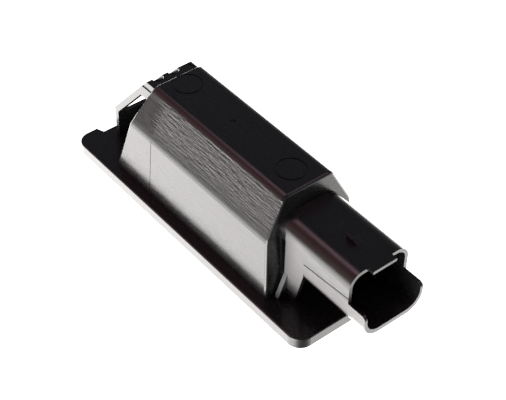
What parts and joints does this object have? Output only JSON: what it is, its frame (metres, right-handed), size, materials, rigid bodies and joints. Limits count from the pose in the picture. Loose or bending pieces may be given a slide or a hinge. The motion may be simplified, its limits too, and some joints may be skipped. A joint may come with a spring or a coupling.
{
  "type": "number plate lamp",
  "caption": "Snap-in number plate lamp: black moulded housing with flange, spring latch and plug shroud, clear lens in its outer face, wedge-base bulb on sprung contacts inside.",
  "frame": {"origin": "centre of the flange's outer face, in the plane of the lens", "axes": "+X out of the connector, +Z from the lens up to the back of the lamp, +Y across the flange"},
  "size_m": [0.0874, 0.0286, 0.0259],
  "materials": {
    "black_plastic": "moulded black, glossy",
    "clear_plastic": "clear, polished",
    "bulb_glass": "clear",
    "wire": "drawn wire",
    "filament": "matt",
    "contact_metal": "tinned sheet"
  },
  "bodies": {
    "root": {"housing": "black_plastic", "lens": "clear_plastic", "bulb_glass": "bulb_glass", "bulb_lead_left": "wire", "bulb_lead_right": "wire", "bulb_filament": "filament", "contact_left": "contact_metal", "contact_right": "contact_metal"}
  },
  "joints": []
}
